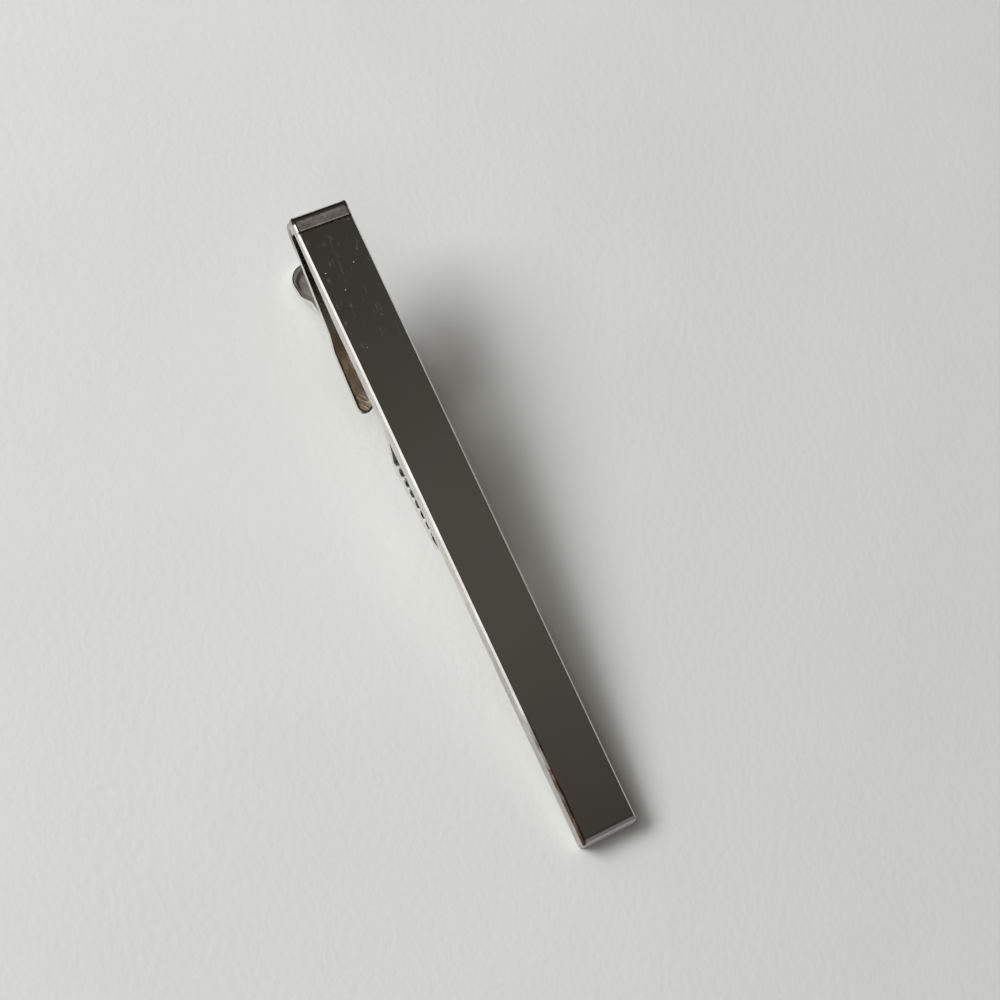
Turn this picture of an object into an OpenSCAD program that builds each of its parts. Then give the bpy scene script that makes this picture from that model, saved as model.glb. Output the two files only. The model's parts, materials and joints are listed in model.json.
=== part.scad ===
// Tie clip: a long bevelled bar, a folded sheet frame soldered to its end, and a sprung lever
// whose toothed jaw closes on the bar's underside.
// Each piece is drawn in the bar's own frame: X runs along the bar from the seam to the tip,
// Z = 0 is the polished face. laid() then tips the clip as it lies on a table, on the bar's tip
// and the thumb pad, with the origin under its middle.

/* [Bar] */
// Length of the polished face, from the seam to the tip
bar_length = 58.2; // [48:0.1:68]
// Width of the bar and of the folded strip
bar_width = 5.5; // [4.8:0.1:8]
// Thickness of the bar
bar_thickness = 1.5; // [1.2:0.1:2.2]
// Thickness of the bar beside the seam, where it thins towards the fold
root_thickness = 0.75; // [0.7:0.05:1.1]
// Length over which the bar thins
root_length = 13.5; // [9:0.5:17]
// Distance behind the seam at which the bar's tongue fills the fold
tongue_setback = 0.3; // [0.1:0.05:0.5]
// Bevel along the upper edges
bar_bevel = 0.17; // [0.1:0.01:0.3]
// Radius along the lower edges and under the tip
lower_edge_radius = 0.3; // [0.1:0.05:0.4]
// Radius of the tip's upper edge
tip_radius = 0.85; // [0.4:0.05:1]
// Radius of the tip's two corners, seen from above
tip_corner_radius = 0.45; // [0.2:0.05:0.8]
// Width of the solder line across the face
seam_width = 0.24; // [0.16:0.02:0.4]
// Depth of the solder below the face
seam_sink = 0.03; // [0.01:0.01:0.06]

/* [Clip frame] */
// Thickness of the folded strip
frame_sheet = 0.45; // [0.35:0.05:0.5]
// How far the fold reaches past the seam
fold_reach = 1.6; // [1.5:0.05:2.2]
// Radius of the fold's two corners, seen from above
fold_corner_radius = 0.4; // [0.2:0.05:0.45]
// Inner radius of the fold's upper bend
fold_inner_radius = 0.05; // [0.02:0.01:0.15]
// Outer radius of the fold's lower bend
fold_radius = 1.2; // [1:0.05:1.4]
// Gap between the bar and the strip at the seam
fold_gap = 0.17; // [0.12:0.01:0.4]
// Slope of the leaf away from the bar, in degrees
leaf_angle = 9.6; // [7:0.1:11]
// Length of the leaf, from the seam to the crank
leaf_length = 8.6; // [7.6:0.1:9.2]
// Length of the crank along the bar
crank_run = 1.5; // [1.2:0.1:1.8]
// Depth of the crank
crank_drop = 0.82; // [0.6:0.02:1]
// Radius of the crank's two bends
crank_radius = 1; // [0.6:0.1:1.4]
// Slope of the two prongs, in degrees
prong_angle = 6.1; // [4:0.1:8]
// Length of the prongs past the crank
prong_length = 5.95; // [5:0.05:7]

/* [Pivot] */
// Distance of the pivot from the seam
pivot_distance = 11.5; // [11.1:0.1:12]
// Height of the pivot over the prongs' middle
pivot_rise = 0.94; // [0.8:0.02:1.1]
// Radius of the pin
pin_radius = 0.4; // [0.3:0.02:0.44]
// Radius of the pin's heads
head_radius = 0.6; // [0.52:0.02:0.66]
// Thickness of each head
head_height = 0.3; // [0.2:0.02:0.4]
// Radial clearance between the pin and the lever's cheeks
pin_clearance = 0.03; // [0.02:0.01:0.06]
// Radial fit between the pin and the frame's ears
ear_fit = 0.01; // [0.005:0.005:0.02]
// Radius of each ear's round top
ear_radius = 0.66; // [0.62:0.02:0.8]
// Gap between the lever and the frame on each side
side_clearance = 0.15; // [0.1:0.01:0.2]

/* [Lever] */
// Thickness of the lever's sheet
lever_sheet = 0.45; // [0.35:0.05:0.5]
// Thickness of the cheeks and of the jaw's walls
wall_sheet = 0.4; // [0.3:0.02:0.45]
// Width of the arm where it passes between the prongs
arm_width = 2.1; // [1.8:0.1:2.3]
// Radius of each cheek's round top
cheek_radius = 0.7; // [0.6:0.02:0.76]
// Depth of the lever's floor below the pivot
cheek_drop = 1.45; // [1.35:0.01:1.6]
// Slope of the neck at rest, in degrees
neck_angle = 19.8; // [17:0.2:23]
// Distance of the pad's far end from the bend under the pivot
pad_reach = 11.44; // [10.6:0.02:12.2]
// Width of the thumb pad
pad_width = 4.1; // [3.8:0.1:4.8]
// Length of the pad with its two shoulders
pad_length = 4.1; // [3.8:0.1:4.6]
// Length over which each shoulder widens from the neck to the pad
shoulder_run = 0.75; // [0.6:0.05:1]
// Radius of the pad's two corners at the shoulders
pad_corner_radius = 0.9; // [0.4:0.1:1]
// Width of the pad's flat lip along its sides
pad_lip = 0.23; // [0.16:0.01:0.4]
// Width of the lip at the pad's far end
end_lip = 0.47; // [0.3:0.01:0.6]
// Width of the slope from the lip down to the dish's floor
dish_run = 0.25; // [0.15:0.01:0.4]
// Depth of the dish in the pad
dish_depth = 0.35; // [0.2:0.01:0.4]
// Width of the neck
neck_width = 2.9; // [2.5:0.1:3]
// Length over which the neck widens from the cheeks
neck_taper = 3.6; // [3:0.1:4.4]
// Radius between the neck and the shoulders
neck_radius = 0.5; // [0.2:0.05:0.6]

/* [Jaw] */
// Length of the arm, from the bend under the pivot to the jaw
arm_length = 10.2; // [9.6:0.1:12]
// Length of the widening ahead of the jaw
taper_length = 5.3; // [4:0.1:6]
// Slope of the jaw at rest, in degrees
jaw_angle = 5.5; // [4:0.1:7]
// Inset of the jaw's sides from the bar's sides
jaw_inset = 0.1; // [0.06:0.02:0.4]
// Length of the toothed walls
jaw_length = 7.2; // [6:0.1:8]
// Height of the walls with their teeth, over the middle of the lever's floor
jaw_height = 0.73; // [0.7:0.01:0.9]
// Number of teeth along each wall
teeth = 7; // [5:1:9]
// Height of the rearmost tooth
rear_tooth_height = 0.24; // [0.16:0.02:0.34]
// Height of the foremost tooth
front_tooth_height = 0.3; // [0.2:0.02:0.4]
// Width of a tooth at its foot
tooth_base = 0.6; // [0.5:0.02:0.7]
// Width of the flat on each tooth
tooth_flat = 0.1; // [0.06:0.02:0.2]
// Gap between the foremost teeth and the bar
bite_gap = 0.03; // [0.02:0.01:0.1]
// Length of the plain lip ahead of the walls
lip_length = 1.5; // [1:0.1:1.6]
// Slope of the lip at rest, in degrees
lip_angle = 16; // [12:0.5:17]
// Radius of the lip's corners
lip_corner_radius = 0.6; // [0.3:0.05:0.8]
// Radius of the bends at the jaw's two ends
jaw_bend_radius = 1; // [0.5:0.1:1.5]

/* [Spring] */
// Thickness of the flat spring
spring_sheet = 0.2; // [0.14:0.02:0.26]
// Width of the flat spring
spring_width = 1.1; // [0.8:0.05:1.5]
// Distance from the crank at which the spring starts to bend
spring_setback = 0.9; // [0.7:0.05:1.4]
// Length of the spring's straight legs
spring_leg = 3; // [2:0.1:3.6]

/* [Hidden] */
$fn = 48;
// Straight steps in each rounded corner of an outline
corner_steps = 14;
// How far a cutting shape runs past what it cuts
overrun = 0.5;
bar_half = bar_width / 2;
polished = [0.66, 0.65, 0.62];
bright = [0.75, 0.74, 0.71];
dark_solder = [0.2, 0.18, 0.16];
spring_steel = [0.5, 0.5, 0.52];

// Unit vector along v
function unit(v) = v / norm(v);
// Left-hand normal of the step from a to b
function normal(a, b) = let (u = unit(b - a)) [-u.y, u.x];
// Rounded corner at b, between its neighbours a and c
function corner(a, b, c, r) = r == 0 ? [b] : let (
    u = unit(a - b),
    w = unit(c - b),
    half = acos(u * w) / 2,
    centre = b + unit(u + w) * r / sin(half),
    first = b + u * r / tan(half) - centre,
    start = atan2(first.y, first.x),
    sweep = sign(cross(b - a, c - b)) * (180 - 2 * half)
) [for (i = [0 : corner_steps]) let (turn = start + sweep * i / corner_steps)
    centre + r * [cos(turn), sin(turn)]];
// Open path whose inner corners are rounded by radii
function bent(points, radii) = let (last = len(points) - 1) concat(
    [points[0]],
    [for (i = [1 : last - 1]) each corner(points[i - 1], points[i], points[i + 1], radii[i - 1])],
    [points[last]]
);
// Closed outline whose corners are rounded by radii
function rounded(points, radii) = let (count = len(points)) [
    for (i = [0 : count - 1])
        each corner(points[(i + count - 1) % count], points[i], points[(i + 1) % count], radii[i])
];
// Offset of a path's point i to its left, with a mitre at the bend
function beside(path, i, offset) = let (
    last = len(path) - 1,
    n1 = normal(path[max(i - 1, 0)], path[max(i, 1)]),
    n2 = normal(path[min(i, last - 1)], path[min(i + 1, last)])
) path[i] + offset * (n1 + n2) / (1 + n1 * n2);
// Outline of a sheet of the given thickness whose middle follows a path
function sheet_outline(path, thickness) = let (last = len(path) - 1) concat(
    [for (i = [0 : last]) beside(path, i, thickness / 2)],
    [for (i = [last : -1 : 0]) beside(path, i, -thickness / 2)]
);

// Middle of the folded strip, from the seam round to the ends of the prongs
fold_x = frame_sheet / 2 - fold_reach;
leaf_slope = tan(leaf_angle);
prong_slope = tan(prong_angle);
leaf_start = [0, -(bar_thickness + fold_gap + frame_sheet / cos(leaf_angle) / 2)];
leaf_end = leaf_start + [leaf_length, -leaf_length * leaf_slope];
prong_start = leaf_end + [crank_run, -crank_drop];
prong_end = prong_start + [prong_length, -prong_length * prong_slope];
fold_corner = [fold_x, leaf_start.y - fold_x * leaf_slope];
fold_middle_radius = fold_radius - frame_sheet / 2;
strip_path = bent(
    [[-seam_width / 2, -frame_sheet / 2], [fold_x, -frame_sheet / 2], fold_corner, leaf_end,
        prong_start, prong_end],
    [fold_inner_radius + frame_sheet / 2, fold_middle_radius, crank_radius, crank_radius]
);
// Centre of the fold's lower bend
fold_centre = fold_corner + fold_middle_radius * [1, tan((90 - leaf_angle) / 2)];
// Bar's tongue inside the fold
tongue_radius = fold_radius - frame_sheet - ear_fit;
tongue_x = frame_sheet + ear_fit - fold_reach;

// Pivot, and the lever's floor under it
pivot = [pivot_distance, prong_start.y - (pivot_distance - prong_start.x) * prong_slope + pivot_rise];
bend = pivot - [0, cheek_drop];
arm_half = arm_width / 2;
slot_half = arm_half + side_clearance;
slot_start = pivot_distance - cheek_drop - lever_sheet;
prong_radius = (bar_half - slot_half) / 2;
ear_outer = slot_half + frame_sheet;

// Jaw: the arm is turned up until its foremost teeth meet the bar
jaw_half = bar_half - jaw_inset;
tooth_pitch = jaw_length / teeth;
// Point at a distance along a slope and a height over it
function along(slope, distance, height) = distance * [cos(slope), sin(slope)]
    + height * [-sin(slope), cos(slope)];
bite = along(jaw_angle, jaw_length - tooth_pitch / 2 + tooth_flat / 2, jaw_height);
bite_rise = -(bar_thickness + bite_gap) - bend.y;
arm_angle = asin((bite_rise - bite.y) / arm_length);
jaw_start = bend + along(arm_angle, arm_length, 0);
lip_start = jaw_start + along(jaw_angle, jaw_length, 0);
lip_end = lip_start + along(lip_angle, lip_length, 0);
arm_path = bent([bend, jaw_start, lip_start, lip_end], [jaw_bend_radius, jaw_bend_radius]);
bite_place = jaw_start + bite;

// Pad, seen along the neck from the bend: its start, the centres of its round end and of its
// dish, the dish's radii, and the point of the dish's underside that lies lowest
neck_half = neck_width / 2;
pad_half = pad_width / 2;
pad_start = pad_reach - pad_length;
pad_far = pad_reach - pad_half;
dish_edge = pad_half - pad_lip;
dish_middle = pad_reach - end_lip - dish_edge;
dish_floor = dish_edge - dish_run;
boss_floor = dish_floor + pad_lip / 2;
pad_low = bend + (dish_middle + boss_floor) * [-cos(neck_angle), -sin(neck_angle)]
    + (lever_sheet / 2 + dish_depth) * [sin(neck_angle), -cos(neck_angle)];

// Flat spring between the leaf and the neck
leaf_line = leaf_start - [0, (frame_sheet + spring_sheet) / cos(leaf_angle) / 2];
neck_line = bend + [0, (lever_sheet + spring_sheet) / cos(neck_angle) / 2];
spring_corner_x = (leaf_line.y - neck_line.y + neck_line.x * tan(neck_angle))
    / (tan(neck_angle) + leaf_slope);
spring_corner = [spring_corner_x, leaf_line.y - spring_corner_x * leaf_slope];
spring_bend_length = (spring_corner_x - leaf_length + spring_setback) / cos(leaf_angle);
spring_radius = spring_bend_length * tan((neck_angle + leaf_angle) / 2);
spring_reach = spring_bend_length + spring_leg;
spring_path = bent(
    [spring_corner - spring_reach * [cos(leaf_angle), -sin(leaf_angle)], spring_corner,
        spring_corner - spring_reach * [cos(neck_angle), sin(neck_angle)]],
    [spring_radius]
);

// Slope at which the clip lies, on the tip's lower edge and the pad
tip_low = [bar_length - lower_edge_radius, lower_edge_radius - bar_thickness];
span = tip_low - pad_low;
lay_angle = atan2(span.y, span.x) - asin(lower_edge_radius / norm(span));
// Place of a bar point once the clip lies down, before it is centred
function tipped(p) = [p.x * cos(lay_angle) + p.y * sin(lay_angle),
    p.y * cos(lay_angle) - p.x * sin(lay_angle)];
tip_reach = tipped([bar_length - tip_radius, -tip_radius]).x + tip_radius;
fold_end_reach = tipped(fold_centre).x - fold_radius;
rest_height = -tipped(pad_low).y;
middle = (tip_reach + fold_end_reach) / 2;
// Place of a bar point in the finished clip
function placed(p) = tipped(p) + [-middle, rest_height];

echo(pivot = placed(pivot), face_middle = placed([bar_length / 2, 0]), lay_angle = lay_angle);
echo(jaw_bite = placed(bite_place), arm_angle = arm_angle, spring_radius = spring_radius);

// Tips a piece as the clip lies, with the origin under the clip's middle
module laid() {
    translate([-middle, 0, rest_height]) rotate([0, lay_angle, 0]) children();
}

// Extrudes a side outline across the clip, centred on its middle plane
module across(width) {
    rotate([90, 0, 0]) linear_extrude(width, center = true) children();
}

// Mirrored copies on both sides of the clip's middle plane
module both_sides() {
    children();
    mirror([0, 1, 0]) children();
}

// Wall across the middle plane's near side, from inner to outer
module side_wall(inner, outer) {
    translate([0, (inner + outer) / 2, 0]) across(outer - inner) children();
}

// Lever's flat floor behind the bend, with X running back to the pad
module on_neck() {
    translate([bend.x, 0, bend.y]) rotate([0, -neck_angle, 0]) mirror([1, 0, 0]) children();
}

// Jaw's flat floor, with X running on to the lip
module on_jaw() {
    translate([jaw_start.x, 0, jaw_start.y]) rotate([0, -jaw_angle, 0]) children();
}

module bar_section() {
    polygon(rounded(
        [[-bar_half, -bar_thickness], [bar_half, -bar_thickness], [bar_half, -bar_bevel],
            [bar_half - bar_bevel, 0], [bar_bevel - bar_half, 0], [-bar_half, -bar_bevel]],
        [lower_edge_radius, lower_edge_radius, 0, 0, 0, 0]
    ));
}

module bar_side() {
    tongue_turn = asin(min(1, (fold_centre.y + bar_thickness) / tongue_radius));
    polygon(rounded(
        [[seam_width / 2, 0], [seam_width / 2, -root_thickness], [root_length, -bar_thickness],
            [bar_length, -bar_thickness], [bar_length, 0]],
        [0, 0, 0, lower_edge_radius, tip_radius]
    ));
    polygon(concat(
        [[seam_width / 2, -frame_sheet], [tongue_x, -frame_sheet]],
        [for (i = [0 : corner_steps]) let (turn = 180 + tongue_turn * i / corner_steps)
            fold_centre + tongue_radius * [cos(turn), sin(turn)]],
        [[-tongue_setback, -bar_thickness], [-tongue_setback, -root_thickness],
            [seam_width / 2, -root_thickness]]
    ));
}

module bar_plan() {
    polygon(rounded(
        [[-fold_reach, -bar_half], [bar_length, -bar_half], [bar_length, bar_half],
            [-fold_reach, bar_half]],
        [0, tip_corner_radius, tip_corner_radius, 0]
    ));
}

// Cuts the strip's upper edges to the bar's bevel
module strip_bevels() {
    both_sides() translate([-fold_reach - overrun, 0, 0]) rotate([90, 0, 90])
        linear_extrude(fold_reach + 2 * overrun)
            polygon([[bar_half - bar_bevel - overrun, overrun], [bar_half + overrun, overrun],
                [bar_half + overrun, -bar_bevel - overrun], [bar_half, -bar_bevel],
                [bar_half - bar_bevel, 0]]);
}

module frame_plan() {
    polygon(rounded(
        [[-fold_reach, -bar_half], [slot_start, -bar_half], [slot_start, bar_half],
            [-fold_reach, bar_half]],
        [fold_corner_radius, 0, 0, fold_corner_radius]
    ));
    for (side = [-1, 1]) translate([0, side * (slot_half + prong_radius)]) {
        translate([0, -prong_radius]) square([prong_end.x - prong_radius, 2 * prong_radius]);
        translate([prong_end.x - prong_radius, 0]) circle(prong_radius);
    }
}

module ear_side() {
    translate(pivot) circle(ear_radius);
    polygon([pivot - [ear_radius, 0], pivot + [ear_radius, 0],
        pivot + [ear_radius, -pivot_rise - ear_radius * prong_slope],
        pivot - [ear_radius, pivot_rise - ear_radius * prong_slope]]);
}

module cheek_side() {
    translate(pivot) circle(cheek_radius);
    polygon([pivot - [cheek_radius, 0], bend - cheek_radius * [1, tan(neck_angle)], bend,
        bend + cheek_radius * [1, tan(arm_angle)], pivot + [cheek_radius, 0]]);
}

module bore(radius, width) {
    translate([pivot.x, 0, pivot.y]) rotate([90, 0, 0])
        cylinder(r = radius, h = width + 2 * overrun, center = true);
}

// Neck, with the pad that it carries and the hole for the pad's dish
module neck_plan() {
    widened = cheek_radius + neck_taper;
    shoulder_end = pad_start + shoulder_run;
    difference() {
        union() {
            polygon(rounded(
                [[0, -arm_half], [cheek_radius, -arm_half], [widened, -neck_half],
                    [pad_start, -neck_half], [shoulder_end, -pad_half], [pad_far, -pad_half],
                    [pad_far, pad_half], [shoulder_end, pad_half], [pad_start, neck_half],
                    [widened, neck_half], [cheek_radius, arm_half], [0, arm_half]],
                [0, 0, neck_taper / 2, neck_radius, pad_corner_radius, 0,
                    0, pad_corner_radius, neck_radius, neck_taper / 2, 0, 0]
            ));
            translate([pad_far, 0]) circle(pad_half);
        }
        translate([dish_middle, 0]) circle(dish_edge);
    }
}

// Half of the dish's section, which is pressed away from the bar
module dish_section() {
    low = -dish_depth;
    half = lever_sheet / 2;
    brim = pad_lip / 2;
    polygon([[0, low - half], [boss_floor, low - half], [boss_floor + dish_run, -half],
        [dish_edge + brim, -half], [dish_edge + brim, half], [dish_edge, half],
        [dish_floor, low + half], [0, low + half]]);
}

module dish() {
    translate([dish_middle, 0, 0]) rotate_extrude() dish_section();
}

// Outline of the arm, the jaw and its lip, seen from above
module arm_plan() {
    taper_start = jaw_start.x - taper_length;
    polygon(rounded(
        [[bend.x, -arm_half], [taper_start, -arm_half], [jaw_start.x, -jaw_half],
            [lip_end.x, -jaw_half], [lip_end.x, jaw_half], [jaw_start.x, jaw_half],
            [taper_start, arm_half], [bend.x, arm_half]],
        [0, taper_length / 2, taper_length / 2, lip_corner_radius, lip_corner_radius,
            taper_length / 2, taper_length / 2, 0]
    ));
}

module jaw_wall() {
    // Height of the valleys beside tooth i, counted from the rear
    function valley(i) = jaw_height - rear_tooth_height
        + (rear_tooth_height - front_tooth_height) * i / (teeth - 1);
    polygon(concat(
        [[0, 0], [0, valley(0)]],
        [for (i = [0 : teeth - 1]) let (tip = [(i + 1 / 2) * tooth_pitch, jaw_height])
            each [[tip.x - tooth_base / 2, valley(i)], tip - [tooth_flat / 2, 0],
                tip + [tooth_flat / 2, 0], [tip.x + tooth_base / 2, valley(i)]]],
        [[jaw_length, valley(teeth - 1)], [jaw_length, 0]]
    ));
}

module front_bar() {
    color(polished) laid() intersection() {
        across(bar_width) bar_side();
        translate([-fold_reach, 0, 0]) rotate([90, 0, 90])
            linear_extrude(fold_reach + bar_length) bar_section();
        translate([0, 0, -bar_thickness - overrun])
            linear_extrude(bar_thickness + 2 * overrun) bar_plan();
    }
}

module clip_frame() {
    color(bright) laid() difference() {
        union() {
            difference() {
                intersection() {
                    across(bar_width) polygon(sheet_outline(strip_path, frame_sheet));
                    translate([0, 0, prong_end.y - overrun])
                        linear_extrude(2 * overrun - prong_end.y) frame_plan();
                }
                strip_bevels();
            }
            both_sides() side_wall(slot_half, ear_outer) ear_side();
        }
        bore(pin_radius + ear_fit, bar_width);
    }
}

module solder_seam() {
    color(dark_solder) laid() intersection() {
        across(bar_width) translate([-seam_width / 2, -frame_sheet])
            square([seam_width, frame_sheet - seam_sink]);
        translate([-seam_width, 0, 0]) rotate([90, 0, 90])
            linear_extrude(2 * seam_width) bar_section();
    }
}

module lever() {
    color(bright) laid() difference() {
        union() {
            on_neck() linear_extrude(lever_sheet, center = true) neck_plan();
            on_neck() dish();
            intersection() {
                across(bar_width) polygon(sheet_outline(arm_path, lever_sheet));
                translate([0, 0, bend.y - overrun]) linear_extrude(2 * overrun - bend.y) arm_plan();
            }
            on_jaw() both_sides() side_wall(jaw_half - wall_sheet, jaw_half) jaw_wall();
            translate([bend.x, 0, bend.y]) rotate([90, 0, 0])
                cylinder(r = lever_sheet / 2, h = arm_width, center = true);
            both_sides() side_wall(arm_half - wall_sheet, arm_half) cheek_side();
        }
        bore(pin_radius + pin_clearance, arm_width);
    }
}

module pivot_pin() {
    color(bright) laid() translate([pivot.x, 0, pivot.y]) rotate([90, 0, 0]) {
        cylinder(r = pin_radius, h = 2 * ear_outer, center = true);
        for (side = [0, 1]) mirror([0, 0, side]) translate([0, 0, ear_outer])
            cylinder(r = head_radius, h = head_height);
    }
}

module return_spring() {
    color(spring_steel) laid() across(spring_width) polygon(sheet_outline(spring_path, spring_sheet));
}

front_bar();
clip_frame();
solder_seam();
lever();
pivot_pin();
return_spring();
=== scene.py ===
import json
import math
import random

import bmesh
import bpy
from mathutils import Matrix, Vector


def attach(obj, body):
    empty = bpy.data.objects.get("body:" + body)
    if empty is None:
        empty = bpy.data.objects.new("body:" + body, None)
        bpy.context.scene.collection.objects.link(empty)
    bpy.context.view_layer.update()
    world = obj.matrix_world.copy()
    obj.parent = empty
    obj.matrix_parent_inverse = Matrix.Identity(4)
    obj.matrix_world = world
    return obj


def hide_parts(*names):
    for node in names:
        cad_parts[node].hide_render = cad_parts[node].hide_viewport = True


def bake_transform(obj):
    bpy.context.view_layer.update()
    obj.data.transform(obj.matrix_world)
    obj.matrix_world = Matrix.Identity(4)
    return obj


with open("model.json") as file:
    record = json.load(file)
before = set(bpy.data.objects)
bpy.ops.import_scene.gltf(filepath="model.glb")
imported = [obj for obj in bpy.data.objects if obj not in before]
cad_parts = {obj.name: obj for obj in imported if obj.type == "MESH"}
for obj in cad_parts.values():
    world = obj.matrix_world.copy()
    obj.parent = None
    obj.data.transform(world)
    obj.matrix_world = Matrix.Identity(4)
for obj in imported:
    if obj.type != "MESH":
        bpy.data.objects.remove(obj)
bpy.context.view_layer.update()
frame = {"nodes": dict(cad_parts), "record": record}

# The bar's own frame, in mm. X runs along the bar from the seam to the tip, Y runs across it,
# and Z = 0 is the polished face. The record's mount on that face gives its middle and its normal.
MM = 0.001
BAR_LENGTH = 58.2
BAR_HALF = 2.75
BAR_BEVEL = 0.17
FACE = next(m for m in frame["record"]["mounts"] if m["name"] == "front_face")
LAY_ANGLE = math.atan2(FACE["axis"][0], FACE["axis"][2])
LAY_TURN = Matrix.Rotation(LAY_ANGLE, 3, "Y")
BAR_ORIGIN = Vector(FACE["pos_m"]) / MM - LAY_TURN @ Vector((BAR_LENGTH / 2, 0, 0))

NODES = frame["nodes"]


def bar_point(x, y, z):
    """Place in the scene, in metres, of a point given in the bar's frame, in mm."""
    return (LAY_TURN @ Vector((x, y, z)) + BAR_ORIGIN) * MM


# Small node helpers
MIX_FACTOR, MIX_A, MIX_B, MIX_RESULT = 0, 6, 7, 2    # sockets of a Mix node set to colours


class Tree:
    """A node tree with short calls that add nodes and give back the new node's output."""

    def __init__(self, tree):
        self.tree = tree
        tree.nodes.clear()

    def add(self, kind, inputs=None, **settings):
        """Adds one node with these inputs and settings, and gives back the node itself."""
        node = self.tree.nodes.new(kind)
        for key, value in settings.items():
            setattr(node, key, value)
        for key, value in (inputs or {}).items():
            self.put(node.inputs[key], value)
        return node

    def put(self, socket, value):
        """Links the socket if the value is another socket, or else writes the value to it."""
        if isinstance(value, bpy.types.NodeSocket):
            self.tree.links.new(value, socket)
        else:
            socket.default_value = value

    def math(self, operation, *values):
        node = self.add("ShaderNodeMath", operation=operation)
        for socket, value in zip(node.inputs, values):
            self.put(socket, value)
        return node.outputs[0]

    def plus(self, a, b):
        return self.math("ADD", a, b)

    def minus(self, a, b):
        return self.math("SUBTRACT", a, b)

    def times(self, first, *others):
        for other in others:
            first = self.math("MULTIPLY", first, other)
        return first

    def most(self, a, b):
        return self.math("MAXIMUM", a, b)

    def away(self, value, place):
        """How far the value is from the place, on either side."""
        return self.math("ABSOLUTE", self.minus(value, place))

    def reach(self, a, b):
        """Length of the line with the legs a and b."""
        return self.math("SQRT", self.plus(self.times(a, a), self.times(b, b)))

    def along(self, x, z, start, turn):
        """Distance from start, a pair (x, z), in the direction at this turn from X towards Z."""
        return self.plus(self.times(self.minus(x, start[0]), math.cos(turn)),
                         self.times(self.minus(z, start[1]), math.sin(turn)))

    def span(self, value, low, high, to_low=0.0, to_high=1.0):
        """Goes smoothly from to_low, where the value is low, to to_high, where it is high. With
        low above high it goes the other way."""
        node = self.add("ShaderNodeMapRange", {
            "Value": value, "From Min": low, "From Max": high,
            "To Min": to_low, "To Max": to_high}, interpolation_type="SMOOTHSTEP")
        return node.outputs[0]

    def mask(self, *spans):
        """Where all of these spans (value, low, high) are full: their product."""
        return self.times(*[self.span(*span) for span in spans])

    def mix(self, factor, a, b):
        node = self.add("ShaderNodeMix", data_type="RGBA")
        self.put(node.inputs[MIX_FACTOR], factor)
        self.put(node.inputs[MIX_A], a)
        self.put(node.inputs[MIX_B], b)
        return node.outputs[MIX_RESULT]

    def layered(self, colour, *layers):
        """The colour, covered by each (mask, colour) layer in turn."""
        for mask, over in layers:
            colour = self.mix(mask, colour, over)
        return colour

    def masked(self, value, *layers):
        """The value, taken towards each (mask, target) in turn."""
        for mask, target in layers:
            value = self.plus(self.times(value, self.minus(1.0, mask)), self.times(mask, target))
        return value

    def placed(self, coords, scale, turn=0.0):
        """Coordinates turned about Z and then scaled."""
        turned = self.add("ShaderNodeMapping", {"Vector": coords, "Rotation": (0, 0, turn)})
        return self.add("ShaderNodeMapping", {"Vector": turned.outputs[0], "Scale": scale}).outputs[0]

    def noise(self, coords, size, detail=2.0, rough=0.5, stretch=(1.0, 1.0, 1.0), turn=0.0):
        """Noise whose features are about size mm, times stretch along each turned axis."""
        placed = self.placed(coords, [1 / (size * s) for s in stretch], turn)
        node = self.add("ShaderNodeTexNoise", {
            "Vector": placed, "Scale": 1.0, "Detail": detail, "Roughness": rough})
        return node.outputs["Fac"]

    def marks(self, coords, cell, radius, share):
        """Separate round marks: one to a square cell of this size in mm, with its radius as a
        part of the cell, in this share of the cells."""
        placed = self.placed(coords, [1 / cell, 1 / cell, 1.0])
        node = self.add("ShaderNodeTexVoronoi", {"Vector": placed, "Scale": 1.0},
                        voronoi_dimensions="2D")
        spot = self.span(node.outputs["Distance"], radius, 0.35 * radius)
        chance = self.add("ShaderNodeSeparateColor", {"Color": node.outputs["Color"]}).outputs[0]
        return self.times(spot, self.math("LESS_THAN", chance, share))

    def hairs(self, coords, size, width, share, stretch, turn):
        """Fine curved lines where a noise of this size crosses its middle level, kept on about
        this share of the surface. The width is a step of that noise's level."""
        level = self.noise(coords, size, 1.0, 0.5, stretch, turn)
        kept = self.span(self.noise(coords, 0.8 * size, 1.0), 1.0 - share, 1.1 - share)
        return self.times(self.span(self.away(level, 0.5), width, 0.2 * width), kept)


def bar_coords(t):
    """Coordinates in the bar's frame, in mm, that stay with the piece."""
    shift = -(LAY_TURN.inverted() @ BAR_ORIGIN)
    mapping = t.add("ShaderNodeMapping", {
        "Vector": t.add("ShaderNodeTexCoord").outputs["Object"],
        "Scale": (1 / MM,) * 3, "Rotation": (0, -LAY_ANGLE, 0), "Location": shift})
    return mapping.outputs[0]


def axes(t, coords):
    return t.add("ShaderNodeSeparateXYZ", {"Vector": coords}).outputs


def facing_axis(t, axis):
    """How far the surface faces along one axis of the part, from 0 to 1."""
    return t.math("ABSOLUTE", axes(t, t.add("ShaderNodeTexCoord").outputs["Normal"])[axis])


def inset(t, y):
    """Distance in mm from the clip's nearer long edge, inwards."""
    return t.minus(BAR_HALF, t.math("ABSOLUTE", y))


def bump(t, height, depth, after=None):
    """Bump of the given depth in mm, on top of the one given in after."""
    inputs = {"Height": height, "Distance": depth * MM, "Strength": 1.0}
    if after is not None:
        inputs["Normal"] = after
    return t.add("ShaderNodeBump", inputs).outputs[0]


def new_material(name):
    material = bpy.data.materials.new(name)
    material.use_nodes = True
    return material, Tree(material.node_tree)


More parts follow.
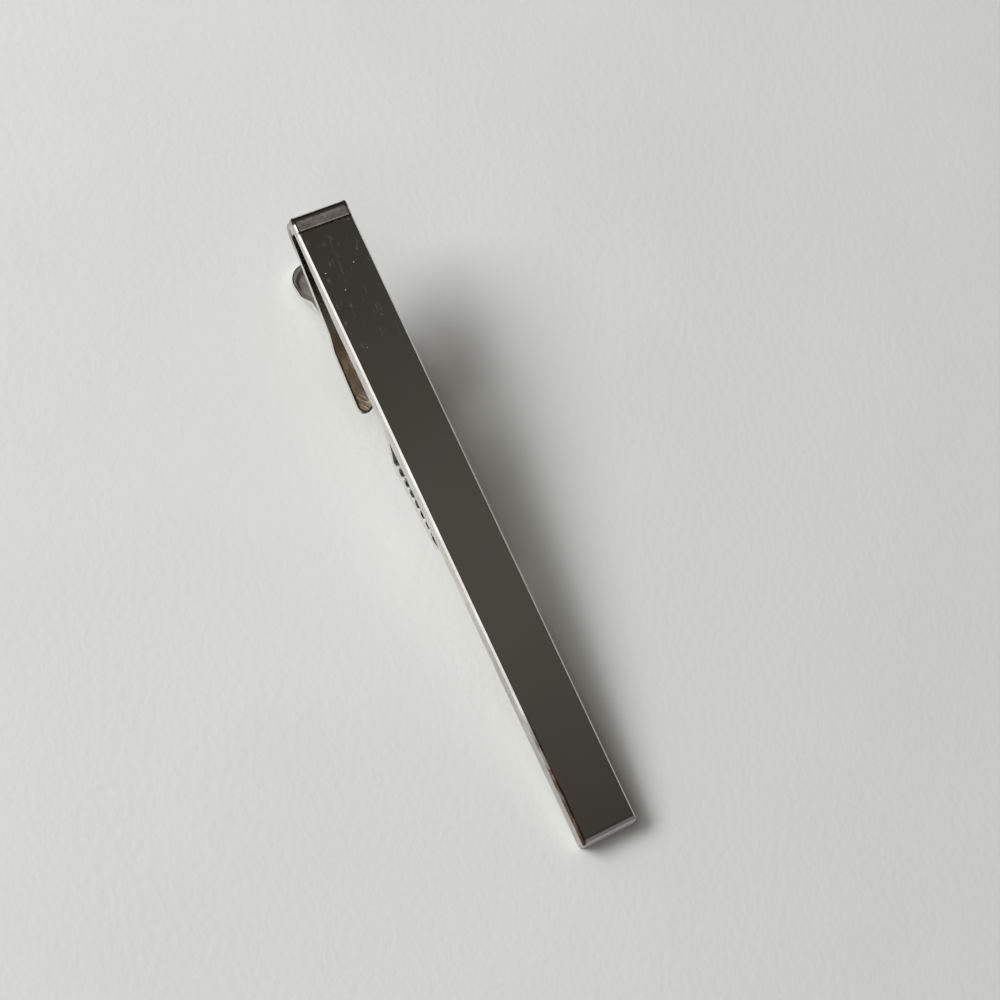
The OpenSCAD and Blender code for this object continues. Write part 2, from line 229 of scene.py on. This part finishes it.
def metal(t, colour, roughness, normal):
    shader = t.add("ShaderNodeBsdfPrincipled", {
        "Base Color": colour, "Metallic": 1.0, "Roughness": roughness, "Normal": normal})
    t.add("ShaderNodeOutputMaterial", {"Surface": shader.outputs[0]})


# Colours
PLATE = (0.80, 0.795, 0.775, 1)
WORN_PLATE = (0.72, 0.65, 0.56, 1)
SATIN_PLATE = (0.84, 0.79, 0.69, 1)
PAD_PLATE = (0.55, 0.53, 0.47, 1)
# White for the painted highlight on the teeth's tips
TOOTH_GLINT = (1.0, 0.99, 0.97, 1)
NICK = (1.0, 0.96, 0.95, 1)
STAIN = (1.0, 0.76, 0.63, 1)
DULL_SIDE = (0.53, 0.52, 0.505, 1)
DULL = (0.30, 0.27, 0.22, 1)
# Near black, for grime and for painted shade on the lever's dish and rim and along the prongs' edges
GRIME_AND_SHADE = (0.08, 0.07, 0.05, 1)
# Near-black painted shade for the corners at the fold's end
CORNER_SHADE = (0.018, 0.016, 0.012, 1)
# Brown of the rubbed edges, also used as painted shade on the near bevel towards the tip
WORN_EDGE_AND_SHADE = (0.17, 0.115, 0.08, 1)
DARK_BRASS = (0.34, 0.26, 0.19, 1)
BARE_BRASS = (0.52, 0.40, 0.31, 1)
PALE_BRASS = (0.66, 0.55, 0.46, 1)
SOLDER_LOW = (0.04, 0.034, 0.028, 1)
SOLDER_HIGH = (0.15, 0.13, 0.105, 1)
SOLDER_END = (0.40, 0.38, 0.36, 1)
RIVET_STEEL = (0.34, 0.30, 0.25, 1)
SPRING_BLUE = (0.40, 0.40, 0.42, 1)
SPRING_STRAW = (0.52, 0.49, 0.44, 1)
TABLE_LOW = (0.624, 0.634, 0.614, 1)
TABLE_HIGH = (0.642, 0.650, 0.632, 1)
WORLD_PLAIN = (1.0, 0.99, 0.975, 1)
WORLD_OVERHEAD = (1.0, 0.93, 0.81, 1)

# Levels between which nearly all of a noise lies
CLOUDY = (0.3, 0.7)
# Heights in mm from which the look of the face, and of the sides under it, comes in and is full
ON_FACE = (-0.12, -0.02)
ON_SIDE = (-0.15, -0.3)

# Thumb pad, in mm along the neck from the bend under the pivot (x, z in the bar's frame)
BEND = (11.5, -4.832)
NECK_SLOPE = math.radians(19.8)
PAD_MIDDLE = 9.39
PAD_RADIUS = 2.05
DISH_MIDDLE = 9.15
DISH_RADIUS = 1.7
# Middle and half width of each prong, across the clip, and the place of its end along it
PRONG_MIDDLE = 1.975
PRONG_HALF = 0.775
PRONG_END = 16.05
# Start of the jaw, its slope, and the height of its teeth's tips over its middle
JAW_START = (21.516, -2.902)
JAW_SLOPE = math.radians(5.5)
TEETH_TIPS = 0.73


# Materials. Each place in a mask is a span in mm in the bar's frame, from none to full
def bar_material():
    """Bright polished plate with curved rubs and bright nicks, most of them near the seam. Near
    the tip the near edge is darkened brown, by rubbing and by painted shade, the face beside it is
    stained and the sides are dull; the end face is darkened with painted shade."""
    material, t = new_material("bar_plate_polished")
    p = bar_coords(t)
    x, y, z = axes(t, p)
    edge = inset(t, y)
    clouds = t.noise(p, 5.0, 3.0)
    streaks = t.noise(p, 0.9, 4.0, 0.6, (3.0, 1.0, 1.0))
    patches = t.noise(p, 1.1, 4.0, 0.6, (2.0, 1.0, 1.0))
    near_seam = t.times(t.span(x, 17.0, 9.0), t.span(x, 0.5, 3.0, 0.8, 1.0))
    inside = t.mask((z, *ON_FACE), (edge, 0.3, 0.4))
    rubs = t.most(t.hairs(p, 1.6, 0.045, 0.46, (3.0, 0.45, 1.0), 0.1),
                  t.hairs(p, 1.1, 0.04, 0.42, (2.6, 0.5, 1.0), -0.35))
    rubs = t.times(rubs, inside, t.plus(t.times(near_seam, 0.95), 0.05))
    nicks = t.marks(p, 1.9, 0.05, 0.22)
    nicks = t.times(nicks, inside, t.plus(t.times(near_seam, 0.6), 0.1))
    dull_side = t.mask((z, *ON_SIDE), (x, 34.0, 44.0))
    stain = t.mask((z, *ON_FACE), (x, 48.0, 53.0), (y, -1.9, -2.5), (patches, 0.3, 0.55))
    # Rubbing and painted shade: towards the tip the near bevel is darkened brown, partly for the dark
    # it mirrors past the lamp's edge
    tip_rub_and_shade = t.mask((x, 44.0, 50.0), (y, -2.3, -2.5), (z, -0.34, -0.22))
    edge_wear = t.times(t.span(edge, 0.45, 0.1), 0.2)
    rubbed_and_shaded = t.times(t.most(edge_wear, tip_rub_and_shade), t.span(streaks, 0.32, 0.56))
    # Painted shade: the end face is darkened, standing for the shadowed table that it mirrors
    tip_end_shade = t.span(x, BAR_LENGTH - 0.3, BAR_LENGTH - 0.1)
    tip_edge = t.span(x, BAR_LENGTH - 0.24, BAR_LENGTH - 0.16)
    colour = t.layered(
        PLATE, (t.span(clouds, *CLOUDY, 0.0, 0.25), WORN_PLATE), (dull_side, DULL_SIDE),
        (stain, STAIN), (rubbed_and_shaded, WORN_EDGE_AND_SHADE), (tip_end_shade, DULL_SIDE), (nicks, NICK))
    roughness = t.masked(
        t.span(clouds, *CLOUDY, 0.04, 0.08), (dull_side, 0.6), (tip_edge, 0.5), (rubbed_and_shaded, 0.2),
        (t.times(rubs, 0.7), 0.45), (nicks, 0.85))
    normal = bump(t, nicks, 0.02, bump(t, t.noise(p, 6.0, 1.0), 0.004))
    metal(t, colour, roughness, normal)
    return material


def frame_material():
    """The bent strip: satin plate on the folded panel with a dark border and painted shade at the
    corners of its end, and polished plate round the fold and along the leaf, with rolling lines and
    painted shade on the fold's bevels. Towards the prongs it is rubbed through to brown brass, with
    slanting file marks on their ends, painted shade on the crank, and darker edges that are painted
    shade beside the bar."""
    material, t = new_material("frame_plate_worn")
    p = bar_coords(t)
    x, y, z = axes(t, p)
    edge = inset(t, y)
    lines = t.noise(p, 0.09, 3.0, 0.6, (14.0, 1.0, 1.0))
    clouds = t.noise(p, 1.4, 4.0, 0.6)
    grain = t.noise(p, 0.3, 3.0, 0.6)

    # Masks on the folded panel and the fold
    panel = t.mask((x, -1.12, -0.94), (z, *ON_FACE))
    panel_rim = t.mask((x, -0.26, -0.16), (z, -0.12, -0.05))
    border = t.mask((edge, 0.36, 0.28), (edge, 0.14, 0.2), (z, -0.2, -0.05))
    # Painted shade: the corners at the fold's end, just under the face, are made near black
    corner = t.mask((x, -0.75, -0.95), (edge, 0.4, 0.2), (z, -0.3, -0.12))
    fold_side = t.mask((x, 1.5, 0.0), (z, *ON_SIDE), (edge, 0.25, 0.1))
    # Painted shade: the bevels where the fold begins are darkened, to dim their bright reflection
    fold_bevel_shade = t.mask((x, 0.0, -0.15), (z, -0.32, -0.2), (edge, 0.22, 0.12))

    # Masks on the leaf and the prongs, whose outer sides keep their plate
    flat = t.most(t.span(facing_axis(t, 1), 0.75, 0.4), t.span(edge, 0.15, 0.3))
    brown_part = t.times(t.span(x, 3.0, 10.0), flat)
    # Painted shade: the crank is darkened, to dim the reflection on its bend
    crank = t.mask((x, 9.0, 10.5), (x, 12.6, 11.4))
    prong_ends = t.span(x, 13.6, 14.6)
    files = t.noise(p, 0.13, 3.0, 0.6, (7.0, 1.0, 1.0), math.radians(-40))
    files = t.times(files, prong_ends, flat)
    from_middle = t.minus(t.math("ABSOLUTE", y), PRONG_MIDDLE)
    past_centre = t.most(t.minus(x, PRONG_END - PRONG_HALF), 0.0)
    ragged = t.plus(t.reach(from_middle, past_centre), t.span(clouds, *CLOUDY, -0.08, 0.08))
    # Darker edges on the prongs; beside the bar this is painted shade, for the shadow between the
    # prong and the bar
    prong_rim = t.mask((ragged, PRONG_HALF - 0.24, PRONG_HALF - 0.1), (x, 9.5, 11.0))

    brown = t.layered(
        DARK_BRASS, (t.span(clouds, 0.3, 0.65), BARE_BRASS), (t.span(x, 13.5, 9.0), DARK_BRASS),
        (t.times(prong_ends, 0.7), DARK_BRASS), (t.span(files, 0.47, 0.56), PALE_BRASS),
        (t.times(crank, 0.6), DARK_BRASS), (prong_rim, GRIME_AND_SHADE))
    satin = t.layered(
        SATIN_PLATE, (t.span(grain, 0.40, 0.68, 0.05, 0.5), DULL),
        (t.span(x, -0.95, -0.5, 0.0, 0.3), DULL))
    grime = t.span(t.noise(p, 0.45, 4.0, 0.65), 0.60, 0.72)
    dull_fold = t.mix(t.span(clouds, 0.42, 0.6, 0.0, 0.5), DULL_SIDE, DULL)
    colour = t.layered(
        PLATE, (t.span(clouds, *CLOUDY, 0.0, 0.35), WORN_PLATE), (brown_part, brown),
        (t.times(grime, 0.5), DULL), (panel, satin), (t.times(border, 0.85), GRIME_AND_SHADE),
        (fold_side, dull_fold), (t.times(fold_bevel_shade, 0.5), DULL), (corner, CORNER_SHADE))
    roughness = t.masked(
        t.span(clouds, *CLOUDY, 0.07, 0.14), (panel, t.span(clouds, *CLOUDY, 0.40, 0.50)),
        (panel_rim, 0.6), (border, 0.5), (fold_side, 0.3), (brown_part, 0.45))
    rough_grain = t.times(grain, t.plus(panel, brown_part))
    normal = bump(t, lines, 0.003, bump(t, files, 0.05, bump(t, rough_grain, 0.012)))
    metal(t, colour, roughness, normal)
    return material


def lever_material():
    """The pressed lever: satin plate in the thumb pad's dish, painted shade round the dish and along
    the rim, smoother plate along the arm and the jaw, and whiter tips on the teeth as painted
    highlight."""
    material, t = new_material("lever_plate_pressed")
    p = bar_coords(t)
    x, y, z = axes(t, p)
    lines = t.noise(p, 0.08, 3.0, 0.6, (12.0, 1.0, 1.0))
    clouds = t.noise(p, 1.2, 4.0, 0.6)
    dents = t.noise(p, 0.6, 2.0)
    grime = t.span(t.noise(p, 0.4, 4.0, 0.65), 0.58, 0.72)
    ahead = t.span(x, 12.0, 18.0)
    upright = t.span(facing_axis(t, 2), 0.75, 0.45)

    # Masks on the thumb pad
    along_neck = t.along(x, z, BEND, math.pi + NECK_SLOPE)
    from_dish = t.minus(along_neck, DISH_MIDDLE)
    radius = t.reach(from_dish, y)
    dish = t.span(radius, DISH_RADIUS - 0.05, DISH_RADIUS - 0.25)
    # Painted shade: a dark ring on the dish's wall, deepest in its middle stretch, and a dark line
    # along the pad's rim, where the surface turns away from the lamp
    darkest = t.span(t.away(from_dish, 0.1), 1.3, 0.3, 0.35, 1.0)
    ring = t.times(t.span(t.away(radius, DISH_RADIUS), 0.2, 0.04), darkest)
    pad_reach = t.reach(t.most(t.minus(along_neck, PAD_MIDDLE), 0.0), y)
    pad_rim_shade = t.mask((pad_reach, PAD_RADIUS - 0.14, PAD_RADIUS - 0.06),
                     (along_neck, DISH_MIDDLE - 1.6, DISH_MIDDLE - 1.2))

    over_jaw = t.along(x, z, JAW_START, JAW_SLOPE + math.pi / 2)
    # Painted highlight: the teeth's tips are made whiter than the plate, to stand for their glints
    teeth = t.mask((over_jaw, TEETH_TIPS - 0.18, TEETH_TIPS - 0.1),
                   (x, JAW_START[0] - 0.5, JAW_START[0]))
    dish_plate = t.mix(t.span(clouds, *CLOUDY), SATIN_PLATE, WORN_PLATE)
    colour = t.layered(
        PAD_PLATE, (dish, dish_plate), (t.times(t.most(ring, pad_rim_shade), 0.9), GRIME_AND_SHADE),
        (upright, PLATE), (ahead, PLATE), (t.times(grime, 0.6), DULL), (teeth, TOOTH_GLINT))
    roughness = t.masked(
        t.span(clouds, *CLOUDY, 0.36, 0.46), (upright, 0.25),
        (ahead, t.span(clouds, *CLOUDY, 0.16, 0.26)), (teeth, 0.5))
    roughness = t.plus(roughness, t.times(grime, 0.12))
    normal = bump(t, lines, 0.003, bump(t, dents, 0.02))
    metal(t, colour, roughness, normal)
    return material


def solder_material():
    """Dark, grainy solder, rubbed bright at its ends."""
    material, t = new_material("solder_dark")
    p = bar_coords(t)
    grain = t.noise(p, 0.12, 4.0, 0.7)
    ends = t.span(inset(t, axes(t, p)[1]), 0.15, 0.09)
    colour = t.layered(SOLDER_LOW, (t.span(grain, 0.4, 0.65), SOLDER_HIGH), (ends, SOLDER_END))
    metal(t, colour, t.span(grain, *CLOUDY, 0.45, 0.7), bump(t, grain, 0.03))
    return material


def rivet_material():
    """Dull steel with the dents of the tool that set it, and some grime."""
    material, t = new_material("rivet_steel_set")
    p = bar_coords(t)
    dents = t.noise(p, 0.25, 2.0)
    grime = t.span(t.noise(p, 0.3, 4.0, 0.65), 0.52, 0.68)
    colour = t.mix(t.times(grime, 0.5), RIVET_STEEL, GRIME_AND_SHADE)
    metal(t, colour, t.span(dents, *CLOUDY, 0.32, 0.5), bump(t, dents, 0.02))
    return material


def spring_material():
    """Blued spring steel with fine rolling lines."""
    material, t = new_material("spring_steel_rolled")
    p = bar_coords(t)
    lines = t.noise(p, 0.07, 3.0, 0.6, (1.0, 0.6, 1.0))
    clouds = t.noise(p, 0.9, 3.0)
    colour = t.mix(t.span(clouds, *CLOUDY), SPRING_BLUE, SPRING_STRAW)
    metal(t, colour, t.span(clouds, *CLOUDY, 0.22, 0.36), bump(t, lines, 0.003))
    return material


def floor_material():
    """Pale matt table with faint clouds and a fine grain."""
    material, t = new_material("table_matt")
    p = t.add("ShaderNodeTexCoord").outputs["Object"]
    clouds = t.add("ShaderNodeTexNoise", {"Vector": p, "Scale": 40.0, "Detail": 3.0}).outputs["Fac"]
    grain = t.add("ShaderNodeTexNoise", {"Vector": p, "Scale": 1400.0, "Detail": 2.0}).outputs["Fac"]
    colour = t.mix(t.span(clouds, *CLOUDY), TABLE_LOW, TABLE_HIGH)
    shader = t.add("ShaderNodeBsdfPrincipled", {
        "Base Color": colour, "Roughness": 0.75, "Normal": bump(t, grain, 0.02)})
    shader.inputs["Specular IOR Level"].default_value = 0.2
    t.add("ShaderNodeOutputMaterial", {"Surface": shader.outputs[0]})
    return material


# Solids carried over from the CAD model: material, and the width in mm, the segments and the
# least turn in degrees of their broken edges
CARRIED_OVER = {
    "front_bar": (bar_material, 0.04, 2, 28.0),
    "clip_frame": (frame_material, 0.05, 2, 28.0),
    "lever": (lever_material, 0.05, 2, 28.0),
    "pivot_pin": (rivet_material, 0.12, 4, 50.0),
}
WELD_DISTANCE = 1e-6


def paint(node, material):
    NODES[node].data.materials.clear()
    NODES[node].data.materials.append(material)


def round_edges(node, width, segments, least_turn):
    """Breaks a solid's sharp edges, so that they catch the light."""
    obj = NODES[node]
    weld = obj.modifiers.new("weld", "WELD")
    weld.merge_threshold = WELD_DISTANCE
    bevel = obj.modifiers.new("bevel", "BEVEL")
    bevel.width = width * MM
    bevel.segments = segments
    bevel.limit_method = "ANGLE"
    bevel.angle_limit = math.radians(least_turn)
    bevel.use_clamp_overlap = True
    bevel.harden_normals = True


def mesh_object(name, vertices, faces, material):
    """A smooth object with its normals turned outwards."""
    mesh = bpy.data.meshes.new(name)
    mesh.from_pydata(vertices, [], faces)
    made = bmesh.new()
    made.from_mesh(mesh)
    bmesh.ops.recalc_face_normals(made, faces=made.faces)
    made.to_mesh(mesh)
    made.free()
    for polygon in mesh.polygons:
        polygon.use_smooth = True
    mesh.materials.append(material)
    obj = bpy.data.objects.new(name, mesh)
    bpy.context.scene.collection.objects.link(obj)
    return obj


def loft(name, rings, material):
    """A closed skin through rings of points, with flat ends."""
    count = len(rings[0])
    vertices = [p for ring in rings for p in ring]
    faces = [tuple(reversed(range(count)))]
    for r in range(len(rings) - 1):
        low, high = r * count, (r + 1) * count
        faces += [(low + i, low + (i + 1) % count, high + (i + 1) % count, high + i)
                  for i in range(count)]
    faces.append(tuple(range((len(rings) - 1) * count, len(rings) * count)))
    return mesh_object(name, vertices, faces, material)


# Spring, in mm, as in the source: the corner (x, z) where its legs' middle lines would meet, the
# slope of its upper leg, the radius of its bend, how far from the corner the bend starts on both
# legs, the length of each leg, its thickness and its width
SPRING_CORNER = Vector((12.0935, -4.2733))
LEAF_SLOPE = math.radians(9.6)
SPRING_RADIUS = 1.169
SPRING_BEND = 4.456
SPRING_LEG = 3.0
SPRING_SHEET = 0.2
SPRING_WIDTH = 1.1
# Radius of its rounded edges, steps round each of them, and steps along a leg and the bend
SPRING_EDGE = 0.06
EDGE_STEPS = 3
LEG_STEPS = 10
BEND_STEPS = 28


def spring_path():
    """Middle line of the flat spring as (place, direction), from its upper leg's end."""
    up = Vector((-math.cos(LEAF_SLOPE), math.sin(LEAF_SLOPE)))
    down = Vector((-math.cos(NECK_SLOPE), -math.sin(NECK_SLOPE)))
    first = SPRING_CORNER + up * SPRING_BEND
    last = SPRING_CORNER + down * SPRING_BEND
    centre = first + SPRING_RADIUS * Vector((-math.sin(LEAF_SLOPE), -math.cos(LEAF_SLOPE)))
    turn_from = math.pi / 2 - LEAF_SLOPE
    turn_to = NECK_SLOPE - math.pi / 2
    path = []
    for i in range(LEG_STEPS):
        path.append((first + up * SPRING_LEG * (1 - i / LEG_STEPS), -up))
    for i in range(BEND_STEPS + 1):
        turn = turn_from + (turn_to - turn_from) * i / BEND_STEPS
        out = Vector((math.cos(turn), math.sin(turn)))
        path.append((centre + SPRING_RADIUS * out, Vector((out.y, -out.x))))
    for i in range(1, LEG_STEPS + 1):
        path.append((last + down * SPRING_LEG * i / LEG_STEPS, down))
    return path


def spring_outline():
    """Cross-section of the spring's strip as (y, height), with rounded edges."""
    half_width = SPRING_WIDTH / 2 - SPRING_EDGE
    half_sheet = SPRING_SHEET / 2 - SPRING_EDGE
    outline = []
    for side_y, side_n, start in ((1, 1, 0), (-1, 1, 90), (-1, -1, 180), (1, -1, 270)):
        for step in range(EDGE_STEPS + 1):
            turn = math.radians(start + 90 * step / EDGE_STEPS)
            outline.append((side_y * half_width + SPRING_EDGE * math.cos(turn),
                            side_n * half_sheet + SPRING_EDGE * math.sin(turn)))
    return outline


def make_spring():
    """Flat spring with rounded edges."""
    outline = spring_outline()
    rings = []
    for place, along in spring_path():
        across = Vector((-along.y, along.x))
        rings.append([bar_point(place.x + across.x * n, y, place.y + across.y * n)
                      for y, n in outline])
    spring = loft("spring_strip", rings, spring_material())
    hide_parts("return_spring")
    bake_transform(spring)


# Solder line, in mm: its width, and its top and bottom below the face, as in the source
SEAM_WIDTH = 0.24
SEAM_SINK = 0.03
SEAM_DEPTH = 0.45
# Steps along it, how far its ends stay inside the bar's sides, the deepest hollow of its top,
# the share of each new hollow, how far its lowest line wanders, how much lower its rims and that
# line lie, and the seed of its draws
SEAM_STEPS = 90
SEAM_INSET = 0.02
SEAM_HOLLOW = 0.11
SEAM_SHARE = 0.25
SEAM_WANDER = 0.02
SEAM_LIP = 0.01
SEAM_SEED = 7


def make_solder():
    """Uneven line of solder across the face, sunk between the bar and the fold."""
    rng = random.Random(SEAM_SEED)
    half = BAR_HALF - SEAM_INSET
    w = SEAM_WIDTH / 2
    rings = []
    dip = 0.0
    for i in range(SEAM_STEPS + 1):
        y = -half + 2 * half * i / SEAM_STEPS
        dip = (1 - SEAM_SHARE) * dip + SEAM_SHARE * rng.uniform(0.0, SEAM_HOLLOW)
        middle = rng.uniform(-SEAM_WANDER, SEAM_WANDER)
        bevel = max(0.0, abs(y) - (BAR_HALF - BAR_BEVEL))
        top = -SEAM_SINK - bevel
        rings.append([bar_point(*p) for p in (
            (-w, y, -SEAM_DEPTH), (w, y, -SEAM_DEPTH), (w, y, top - SEAM_LIP),
            (0.5 * w, y, top - dip), (middle, y, top - 1.4 * dip - SEAM_LIP),
            (-0.5 * w, y, top - dip), (-w, y, top - SEAM_LIP))])
    solder = loft("solder_line", rings, solder_material())
    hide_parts("solder_seam")
    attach(solder, "clip")


# Surroundings
TABLE_HALF = 3.0    # metres


def make_floor():
    half = TABLE_HALF
    mesh = bpy.data.meshes.new("table")
    mesh.from_pydata([(-half, -half, 0), (half, -half, 0), (half, half, 0), (-half, half, 0)],
                     [], [(0, 1, 2, 3)])
    mesh.materials.append(floor_material())
    floor = bpy.data.objects.new("table", mesh)
    bpy.context.scene.collection.objects.link(floor)


# Lamps on the -Y side: azimuth from -Y towards -X and rise in degrees, distance and size in
# metres, power in watts
LAMPS = {
    "window": (38.5, 29, 0.9, (0.62, 0.285), 11.5),
    "low_panel": (42.7, 21, 1.0, (2.15, 0.31), 1.05),
}


def make_lamp(name, azimuth, rise, distance, size, power):
    """Area lamp at this place, aimed at the middle of the part."""
    turn, lift = math.radians(azimuth), math.radians(rise)
    towards = Vector((-math.sin(turn) * math.cos(lift), -math.cos(turn) * math.cos(lift),
                      math.sin(lift)))
    data = bpy.data.lights.new(name, "AREA")
    data.shape = "RECTANGLE"
    data.size, data.size_y = size
    data.energy = power
    lamp = bpy.data.objects.new(name, data)
    lamp.location = towards * distance
    lamp.rotation_euler = (-towards).to_track_quat("-Z", "Y").to_euler()
    bpy.context.scene.collection.objects.link(lamp)


def make_world():
    """A room whose walls are pale on the lamps' side, brightest high up, and dark behind, with a
    dim ceiling, a grey patch of wall beyond the tip and a faint pale line at the horizon."""
    world = bpy.data.worlds.new("room")
    bpy.context.scene.world = world
    world.use_nodes = True
    t = Tree(world.node_tree)
    x, y, z = axes(t, t.add("ShaderNodeTexCoord").outputs["Generated"])
    overhead = t.span(z, 0.75, 0.88)
    ceiling = t.span(t.away(x, 0.06), 0.18, 0.0, 0.046, 0.084)
    walls = t.span(x, -0.4, 0.4, 0.012, 0.03)
    lamp_side = t.span(t.plus(t.times(y, -0.95), t.times(x, -0.31)), 0.05, 0.4)
    raised = t.span(z, 0.42, 0.6)
    high_wall = t.times(lamp_side, raised, t.span(z, 0.98, 0.9))
    low_wall = t.times(lamp_side, t.minus(1.0, raised), t.span(x, 0.085, 0.055))
    far_wall = t.mask((x, 0.48, 0.58), (z, 0.72, 0.64), (y, 0.1, 0.25), (y, 0.7, 0.5))
    horizon = t.mask((z, 0.06, 0.0), (x, -0.6, 0.2))
    glow = t.masked(walls, (overhead, ceiling))
    for patch, strength in ((high_wall, 1.1), (low_wall, 0.78), (far_wall, 0.14), (horizon, 0.15)):
        glow = t.plus(glow, t.times(patch, strength))
    tint = t.mix(overhead, WORLD_PLAIN, WORLD_OVERHEAD)
    background = t.add("ShaderNodeBackground", {"Strength": glow, "Color": tint})
    t.add("ShaderNodeOutputWorld", {"Surface": background.outputs[0]})


# Camera, fitted to the photograph in the bar's frame: place, lens and sensor in mm
CAMERA_PLACE = (44.8307, -75.1278, 182.2422)
CAMERA_FORWARD = Vector((-0.083534, 0.396141, -0.914382))
CAMERA_UP = Vector((-0.90139, 0.36119, 0.238826))
CAMERA_LENS = 82.8
SENSOR_WIDTH = 36.0
NEAREST_SEEN = 0.01    # metres


def make_camera():
    data = bpy.data.cameras.new("camera")
    data.lens = CAMERA_LENS
    data.sensor_width = SENSOR_WIDTH
    data.clip_start = NEAREST_SEEN
    camera = bpy.data.objects.new("camera", data)
    right = CAMERA_FORWARD.cross(CAMERA_UP)
    turn = LAY_TURN @ Matrix((right, CAMERA_UP, -CAMERA_FORWARD)).transposed()
    camera.matrix_world = Matrix.Translation(bar_point(*CAMERA_PLACE)) @ turn.to_4x4()
    bpy.context.scene.collection.objects.link(camera)
    bpy.context.scene.camera = camera


make_camera()
make_floor()
for lamp_name, lamp in LAMPS.items():
    make_lamp(lamp_name, *lamp)
make_world()
for node_name, (make_material, width, segments, least_turn) in CARRIED_OVER.items():
    paint(node_name, make_material())
    round_edges(node_name, width, segments, least_turn)
make_solder()
make_spring()
bpy.context.scene.view_settings.view_transform = "Standard"
